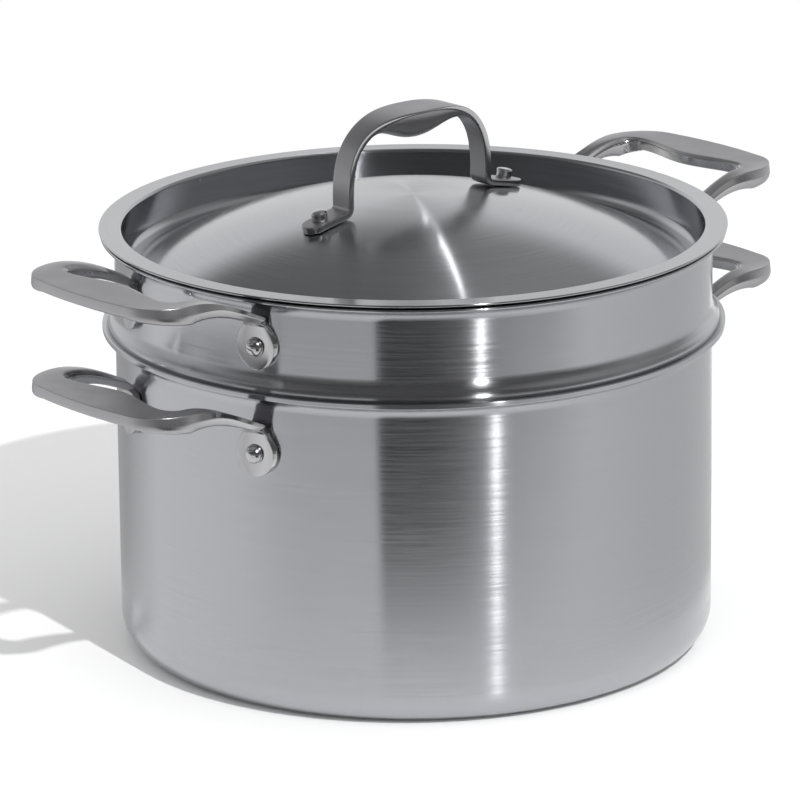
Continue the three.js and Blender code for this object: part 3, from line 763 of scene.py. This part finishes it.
def handle_half(wall):
    """Rings of half a side handle, from the middle of the grip to the tip of a pad."""
    rings = []
    reach = wall + HANDLE_REACH
    slot = wall + SLOT_DEPTH
    corner_b = HANDLE_SPAN / 2 - HANDLE_CORNER_RADIUS
    slot_b = SLOT_WIDTH / 2 - SLOT_CORNER_RADIUS

    def bow(b):
        return reach - HANDLE_BOW * (b / corner_b) ** 2

    def level(inner, outer, z, slope, thickness, section):
        def place(across, depth):
            share = (across + 1) / 2
            x = inner[0] + (outer[0] - inner[0]) * share + depth * math.sin(slope)
            y = inner[1] + (outer[1] - inner[1]) * share
            return (x, y, z - depth * math.cos(slope))
        rings.append(handle_ring(place, thickness, section))

    for i in range(STRETCH_STEPS):
        share = i / STRETCH_STEPS
        inner = (slot - SLOT_BOW * math.cos(QUARTER * share) ** 2, share * slot_b)
        outer = (bow(share * corner_b), share * corner_b)
        level(inner, outer, HANDLE_RISE, 0, HANDLE_THICKNESS, GRIP_SECTION)
    corner_a = bow(corner_b) - HANDLE_CORNER_RADIUS
    outers = arc(corner_a, corner_b, HANDLE_CORNER_RADIUS, 0, QUARTER)
    inners = arc(slot - SLOT_CORNER_RADIUS, slot_b, SLOT_CORNER_RADIUS, 0, QUARTER)
    for i, (inner, outer) in enumerate(zip(inners, outers)):
        share = i / BEND_STEPS
        section = mix_sections(GRIP_SECTION, ARM_SECTION, 0.5 * smooth(share))
        thickness = HANDLE_THICKNESS + (ARM_THICKNESS - HANDLE_THICKNESS) * share
        level(inner, outer, HANDLE_RISE, 0, thickness, section)

    # The arm runs in to the wall and falls in a quarter wave
    angle = pad_angle(wall)
    neck = PAD_NECK_WIDTH / 2
    root_r = wall + SEAT_GAP + ARM_ROOT_RADIUS
    run = inners[-1][0] - root_r
    fall = HANDLE_RISE - ARM_ROOT_RISE
    inner_end = [root_r * f(angle - neck / wall) for f in (math.cos, math.sin)]
    outer_end = [root_r * f(angle + neck / wall) for f in (math.cos, math.sin)]
    for i in range(1, STRETCH_STEPS + 1):
        share = i / STRETCH_STEPS
        inner = [a + (b - a) * share for a, b in zip(inners[-1], inner_end)]
        outer = [a + (b - a) * share for a, b in zip(outers[-1], outer_end)]
        z = ARM_ROOT_RISE + fall * math.cos(QUARTER * share)
        slope = math.atan(QUARTER * fall / run * math.sin(QUARTER * share))
        thickness = ARM_THICKNESS + (PAD_THICKNESS - ARM_THICKNESS) * share
        section = mix_sections(GRIP_SECTION, ARM_SECTION, 0.5 + 0.5 * smooth(2 * share))
        section = mix_sections(section, PAD_SECTION, smooth(2 * share - 1))
        level(inner, outer, z, slope, thickness, section)

    # The root turns down on to the wall, and the pad widens round its rivet to a half circle
    root_slope = math.atan(QUARTER * fall / run)
    turn_r = root_r - ARM_ROOT_RADIUS * (1 - math.sin(root_slope))
    turn_z = ARM_ROOT_RISE - ARM_ROOT_RADIUS * math.cos(root_slope)

    def pad(r, z, slope, half_width):
        def place(across, depth):
            turn = angle + across * half_width / wall
            out = r + depth * math.sin(slope)
            return (out * math.cos(turn), out * math.sin(turn), z - depth * math.cos(slope))
        rings.append(handle_ring(place, PAD_THICKNESS, PAD_SECTION))

    for i in range(1, CORNER_STEPS + 1):
        slope = root_slope + (QUARTER - root_slope) * i / CORNER_STEPS
        r = turn_r + ARM_ROOT_RADIUS * (1 - math.sin(slope))
        pad(r, turn_z + ARM_ROOT_RADIUS * math.cos(slope), slope, neck)
    pad_r = wall + SEAT_GAP
    for i in range(1, CORNER_STEPS + 1):
        share = 1 - i / (CORNER_STEPS + 1)
        swell = neck + (PAD_RADIUS - neck) * math.cos(QUARTER * share)
        pad(pad_r, turn_z * share, QUARTER, swell)
    tip_step = QUARTER / (BEND_STEPS + 0.5)
    for i in range(BEND_STEPS + 1):
        pad(pad_r, -PAD_RADIUS * math.sin(i * tip_step), QUARTER, PAD_RADIUS * math.cos(i * tip_step))
    return rings


# Rivets: an inner head, a shank, a thin base ring and a head
def rivet_profile(size, grip):
    head_z = grip + size["collar_height"]
    edge = RIVET_EDGE * size["collar"] * min(size["collar_height"], 1)
    inner = []
    dome = []
    for i in range(CORNER_STEPS * 2 + 1):
        angle = QUARTER * i / (CORNER_STEPS * 2)
        inner.append((INNER_HEAD_RADIUS * math.sin(angle), -INNER_HEAD_HEIGHT * math.cos(angle)))
        dome.append((size["head"] * math.cos(angle), head_z + size["dome"] * math.sin(angle)))
    inner[0] = (0, -INNER_HEAD_HEIGHT)
    dome[-1] = (0, head_z + size["dome"])
    return [
        *inner,
        (size["shank"], 0),
        (size["shank"], grip),
        (size["collar"], grip),
        *arc(size["collar"] - edge, head_z - edge, edge, 0, QUARTER, CORNER_STEPS),
        *dome,
    ]


def make_rivet(node, body, size, grip, place):
    points, faces = turned(rivet_profile(size, grip), RIVET_COLUMNS)
    return make_piece(node, body, "rivet_steel", points, faces, place)


def hang_handles(owner, wall):
    """Two handles on a wall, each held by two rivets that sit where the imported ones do."""
    half = handle_half(wall)
    rings = mirrored(half[1:], 1) + half
    for side, turn in (("right", 0), ("left", math.pi)):
        low, high = corners_mm(f"{owner}_rivet_{side}_a")
        height = (low.z + high.z) / 2
        place = Matrix.Translation((0, 0, height)) @ Matrix.Rotation(turn, 4, "Z")
        make_loft(f"{owner}_handle_{side}", owner, rings, place)
        for end, sign in (("a", 1), ("b", -1)):
            seat = POT_INNER if owner == "pot" else COLLAR_INNER
            seat -= RIVET_SINK + SEAT_GAP
            grip = wall + PAD_THICKNESS + 2 * SEAT_GAP - seat
            spin = Matrix.Rotation(sign * pad_angle(wall), 4, "Z")
            lie = Matrix.Translation((seat, 0, 0)) @ Matrix.Rotation(QUARTER, 4, "Y")
            make_rivet(f"{owner}_rivet_{side}_{end}", owner, SIDE_RIVET, grip, place @ spin @ lie)


hang_handles("pot", POT_OUTER)
hang_handles("insert", COLLAR_OUTER)

for side, sign in (("right", 1), ("left", -1)):
    spot = Matrix.Translation((sign * LID_RIVET_R, 0, dome_height(LID_RIVET_R)))
    lean = Matrix.Rotation(sign * LID_RIVET_TILT, 4, "Y")
    drop = Matrix.Translation((0, 0, -LID_WALL - SEAT_GAP))
    grip = LID_WALL + ARCH_THICKNESS + 3 * SEAT_GAP
    make_rivet(f"lid_rivet_{side}", "lid", LID_RIVET, grip, spot @ lean @ drop)


# Camera
VIEW_TURN = math.radians(-41.4)
VIEW_RISE = math.radians(17.0975)
VIEW_DISTANCE = 2.5347
VIEW_FOCUS = Vector((0, 0, 0.090))
VIEW_AIM = Vector((-0.00487, 0.00429, 0.10769))
VIEW_ROLL = -0.0093
VIEW_LENS = 255.26
VIEW_END = 100
UP = Vector((0, 0, 1))


def aim(thing, target, roll=0):
    """Turn a camera or lamp to look at a point."""
    look = target - thing.location
    thing.rotation_euler = (look.to_track_quat("-Z", "Y") @ Quaternion((0, 0, 1), roll)).to_euler()


TO_VIEWER = Vector((math.sin(VIEW_TURN), -math.cos(VIEW_TURN), 0))
TO_RIGHT = Vector((math.cos(VIEW_TURN), math.sin(VIEW_TURN), 0))
camera = bpy.data.objects.new("camera", bpy.data.cameras.new("camera"))
camera.data.lens = VIEW_LENS
camera.data.clip_end = VIEW_END
camera.location = VIEW_FOCUS + VIEW_DISTANCE * (
    math.cos(VIEW_RISE) * TO_VIEWER + math.sin(VIEW_RISE) * UP
)
aim(camera, VIEW_AIM, VIEW_ROLL)
bpy.context.collection.objects.link(camera)
bpy.context.scene.camera = camera

# Floor: plain white paper, which runs into the white cove some way behind and beside the pot
FLOOR_HALF = 8
COVE_START = 0.55
COVE_FULL = 1.0
PAPER_GRAINS = 900.0
PAPER_PALE = "#F4F4F4"
PAPER_DEEP = "#F0F0F0"


def paper():
    material, tree = new_material("white_paper")
    coords = add_node(tree, "ShaderNodeTexCoord").outputs["Object"]
    tooth = add_node(tree, "ShaderNodeTexNoise", {"Vector": coords, "Scale": PAPER_GRAINS}).outputs[0]
    tone = blend(tree, tooth, PAPER_DEEP, PAPER_PALE)
    away = vector_step(tree, "LENGTH", coords)
    cove = remap(tree, away, (COVE_START, COVE_FULL), 0, 1, "SMOOTHSTEP")
    light = add_node(tree, "ShaderNodeLightPath").outputs
    seen = number_step(tree, "MAXIMUM", light["Is Camera Ray"], light["Is Glossy Ray"])
    share = number_step(tree, "MULTIPLY", cove, seen)
    lit = add_node(tree, "ShaderNodeBsdfDiffuse", {"Color": tone}).outputs[0]
    white = add_node(tree, "ShaderNodeEmission", {"Color": (1, 1, 1, 1), "Strength": 1.0}).outputs[0]
    shader = add_node(tree, "ShaderNodeMixShader", {0: share, 1: lit, 2: white}).outputs[0]
    add_node(tree, "ShaderNodeOutputMaterial", {"Surface": shader})
    return material


floor_corners = [(x * FLOOR_HALF, y * FLOOR_HALF, 0) for x, y in ((-1, -1), (1, -1), (1, 1), (-1, 1))]
floor_mesh = bpy.data.meshes.new("floor")
floor_mesh.from_pydata(floor_corners, [], [(0, 1, 2, 3)])
floor_mesh.materials.append(paper())
floor = bpy.data.objects.new("floor", floor_mesh)
bpy.context.collection.objects.link(floor)

# Glowing card on the floor in front, seen only in the metal, whose glowing tones are painted reflections.
# Its tones say how white it glows at each turn, in degrees from the line to the viewer: white for the lit
# paper, darker far round on the left as a painted shadow of the pot on the paper, dimmer far round on the
# right, and dark in a wedge in front, sharp on its left edge and fading to the right. Far out in front it
# shows the dark floor of the room.
CARD_TONES = (
    (-160, 0.4), (-140, 0.5), (-118, 1.0), (-78, 1.0), (-51, 0.88), (-16.8, 0.87), (-15.8, 0.02),
    (5, 0.04), (13, 0.1), (21, 0.2), (30, 0.42), (37, 0.62), (50, 0.82), (60, 0.9), (75, 0.95),
    (104, 0.83), (140, 0.71), (155, 0.7),
)
CARD_APEX = 0.131
CARD_START = 0.09
CARD_FULL = 0.26
FRONT_DARK = 0.13
FRONT_START = 0.6
FRONT_FULL = 1.1
FRONT_HALF = 50
FRONT_FADE = 22
CARD_NEAR = 0.06
CARD_CLEAR = 0.172
CARD_FAR = 4.0
CARD_LIFT = 0.002
CARD_STEP = 2.5
CARD_ROWS = 36


def card_tone(turn):
    """How white the card glows at a turn in degrees, straight between the given tones."""
    for (start, first), (end, last) in zip(CARD_TONES, CARD_TONES[1:]):
        if turn <= end:
            return first + (last - first) * (turn - start) / (end - start)
    return CARD_TONES[-1][1]


def card_shade(turn, reach):
    depth = smooth((reach - CARD_START) / (CARD_FULL - CARD_START))
    near = 1 + (card_tone(turn) - 1) * depth
    front = 1 - smooth((abs(turn) - FRONT_HALF) / FRONT_FADE)
    beyond = smooth((reach - FRONT_START) / (FRONT_FULL - FRONT_START))
    return near + (FRONT_DARK - near) * front * beyond


# The card glows with its painted tones as emission: painted reflections of lit paper, painted shadow and a
# dark room, not a lit cloth
def dark_cloth():
    material, tree = new_material("dark_cloth")
    shade = add_node(tree, "ShaderNodeAttribute", attribute_name="shade").outputs["Fac"]
    glow = add_node(tree, "ShaderNodeEmission", {"Color": shade}).outputs[0]
    add_node(tree, "ShaderNodeOutputMaterial", {"Surface": glow})
    first, last = CARD_TONES[0][0], CARD_TONES[-1][0]
    count = round((last - first) / CARD_STEP)
    even = {first + (last - first) * i / count for i in range(count)}
    turns = sorted(even | {turn for turn, _ in CARD_TONES})
    points, shades, faces = [], [], []
    for turn in turns:
        way = math.cos(math.radians(turn)) * TO_VIEWER + math.sin(math.radians(turn)) * TO_RIGHT
        for j in range(CARD_ROWS + 1):
            reach = CARD_NEAR * (CARD_FAR / CARD_NEAR) ** (j / CARD_ROWS)
            spot = TO_VIEWER * CARD_APEX + reach * way
            spot *= max(1, CARD_CLEAR / spot.length)
            points.append(spot + CARD_LIFT * UP)
            shades.append(card_shade(turn, reach))
    row = CARD_ROWS + 1
    for i in range(len(turns) - 1):
        for j in range(CARD_ROWS):
            a = i * row + j
            faces.append((a, a + row, a + row + 1, a + 1))
    mesh = bpy.data.meshes.new("dark_cloth")
    mesh.from_pydata(points, [], faces)
    mesh.attributes.new("shade", "FLOAT", "POINT").data.foreach_set("value", shades)
    mesh.materials.append(material)
    card_object = bpy.data.objects.new("dark_cloth", mesh)
    bpy.context.collection.objects.link(card_object)
    card_object.visible_camera = False
    card_object.visible_diffuse = False
    card_object.visible_shadow = False
    card_object.visible_transmission = False


dark_cloth()

# Key lamp: one small hard lamp, high on the viewer's right, for the floor and its shadow. The metal mirrors
# other lamps: a low one for the streak on each wall, a strip behind for the line on the lid, and two at the
# key's own place for the glints on the lid and on the handles and rivets.
KEY_PLACE = Vector((-0.502, -2.103, 2.18))
KEY_TARGET = Vector((0, 0, 0.1))
KEY_SIZE = 0.06
KEY_WATTS = 65
GLINT_WATTS = 120
LID_GLINT_WATTS = 60
STREAK_REACH = 2.4
STREAK_RISE = math.radians(10)
STREAK_SIZE = 0.05
POT_STREAK = math.radians(29.6)
POT_STREAK_WATTS = 10.5
INSERT_STREAK = math.radians(24.2)
INSERT_STREAK_WATTS = 11.5
LID_STREAK = math.radians(15)
LID_STREAK_RISE = math.radians(48)
LID_STREAK_LENGTH = 1.3
LID_STREAK_SIZE = 0.012
LID_STREAK_WATTS = 0.42


def lamp(name, place, watts, size):
    light = bpy.data.objects.new(name, bpy.data.lights.new(name, "AREA"))
    light.data.shape = "DISK"
    light.data.size = size
    light.data.energy = watts
    light.location = place
    aim(light, KEY_TARGET)
    bpy.context.collection.objects.link(light)
    return light


def light_only(light, pieces):
    """Let a lamp show in the metal of some pieces only."""
    lit = bpy.data.collections.new(light.name + "_lit")
    for piece in pieces:
        lit.objects.link(piece)
    light.light_linking.receiver_collection = lit
    light.visible_diffuse = False


def streak_lamp(name, turn, watts, piece):
    way = math.cos(turn) * TO_VIEWER + math.sin(turn) * TO_RIGHT
    place = KEY_TARGET + STREAK_REACH * (math.cos(STREAK_RISE) * way + math.sin(STREAK_RISE) * UP)
    light_only(lamp(name, place, watts, STREAK_SIZE), [piece])


def lid_streak_lamp():
    """A strip that the lid mirrors to the viewer along one line, which the handle doesn't shade."""
    off = math.cos(LID_STREAK) * TO_RIGHT - math.sin(LID_STREAK) * TO_VIEWER
    away = -math.cos(LID_STREAK) * TO_VIEWER - math.sin(LID_STREAK) * TO_RIGHT
    share = math.cos(VIEW_RISE) * math.sin(LID_STREAK)
    slant = math.cos(LID_STREAK_RISE) * away + math.sin(LID_STREAK_RISE) * UP
    along = math.cos(LID_STREAK_RISE) * UP - math.sin(LID_STREAK_RISE) * away
    way = share * off + math.sqrt(1 - share ** 2) * slant
    dome = Vector((0, 0, DOME_TOP * MM))
    light = lamp("lid_streak_lamp", dome + STREAK_REACH * way, LID_STREAK_WATTS, LID_STREAK_SIZE)
    light.data.shape = "RECTANGLE"
    light.data.size_y = LID_STREAK_LENGTH
    light.rotation_euler = Matrix((along.cross(way), along, way)).transposed().to_euler()
    light_only(light, [lid_piece])
    light.light_linking.blocker_collection = light.light_linking.receiver_collection


lamp("key_lamp", KEY_PLACE, KEY_WATTS, KEY_SIZE).visible_glossy = False
shells = (pot_piece, insert_piece, lid_piece)
fittings = [obj for obj in bpy.data.objects if obj.name.endswith("_fine") and obj not in shells]
light_only(lamp("glint_lamp", KEY_PLACE, GLINT_WATTS, KEY_SIZE), fittings)
light_only(lamp("lid_glint_lamp", KEY_PLACE, LID_GLINT_WATTS, KEY_SIZE), [lid_piece])
streak_lamp("pot_streak_lamp", POT_STREAK, POT_STREAK_WATTS, pot_piece)
streak_lamp("insert_streak_lamp", INSERT_STREAK, INSERT_STREAK_WATTS, insert_piece)
lid_streak_lamp()

# World: a white cove behind the pot, dimmer at the sides, dark above and behind the viewer
AMBIENT = 0.87
COVE_WHITE = 0.89
ROOM_LEFT = 0.6
ROOM_RIGHT = 0.3
ROOM_FRONT = 0.09
TOP_LEFT = 0.2
TOP_RIGHT = 0.38
TOP_FRONT = 0.11
COVE_TOP = (0.42, 0.62)
TOP_TURN = (-0.2, 0.4)
ROOM_TURN = (-0.6, 0.6)
COVE_SIDE = (0.82, 0.45)
SIDE_FRONT = (0.1, -0.5)
TOP_SIDE = (-0.2, -0.8)


def studio_world():
    world = bpy.data.worlds.new("studio")
    bpy.context.scene.world = world
    world.use_nodes = True
    tree = world.node_tree
    tree.nodes.clear()
    way = add_node(tree, "ShaderNodeTexCoord").outputs["Generated"]
    height = add_node(tree, "ShaderNodeSeparateXYZ", {0: way}).outputs["Z"]
    flat = vector_step(tree, "MULTIPLY", way, (1, 1, 0))
    level = vector_step(tree, "NORMALIZE", flat)
    back = vector_step(tree, "DOT_PRODUCT", level, (-TO_VIEWER)[:])
    side = vector_step(tree, "DOT_PRODUCT", level, TO_RIGHT[:])

    def fade(value, span, start, end):
        return remap(tree, value, span, start, end, "SMOOTHSTEP")

    room = fade(side, ROOM_TURN, ROOM_LEFT, ROOM_RIGHT)
    front = fade(back, SIDE_FRONT, room, ROOM_FRONT)
    cove = fade(back, COVE_SIDE, COVE_WHITE, front)
    across = fade(side, TOP_TURN, TOP_LEFT, TOP_RIGHT)
    top = fade(back, TOP_SIDE, across, TOP_FRONT)
    seen = fade(height, COVE_TOP, cove, top)
    light = add_node(tree, "ShaderNodeLightPath").outputs
    soft = between(tree, light["Is Glossy Ray"], AMBIENT, seen)
    strength = between(tree, light["Is Camera Ray"], soft, 1.0)
    white = (1, 1, 1, 1)
    glow = add_node(tree, "ShaderNodeBackground", {"Color": white, "Strength": strength}).outputs[0]
    add_node(tree, "ShaderNodeOutputWorld", {"Surface": glow})


studio_world()
bpy.context.scene.view_settings.view_transform = "Standard"
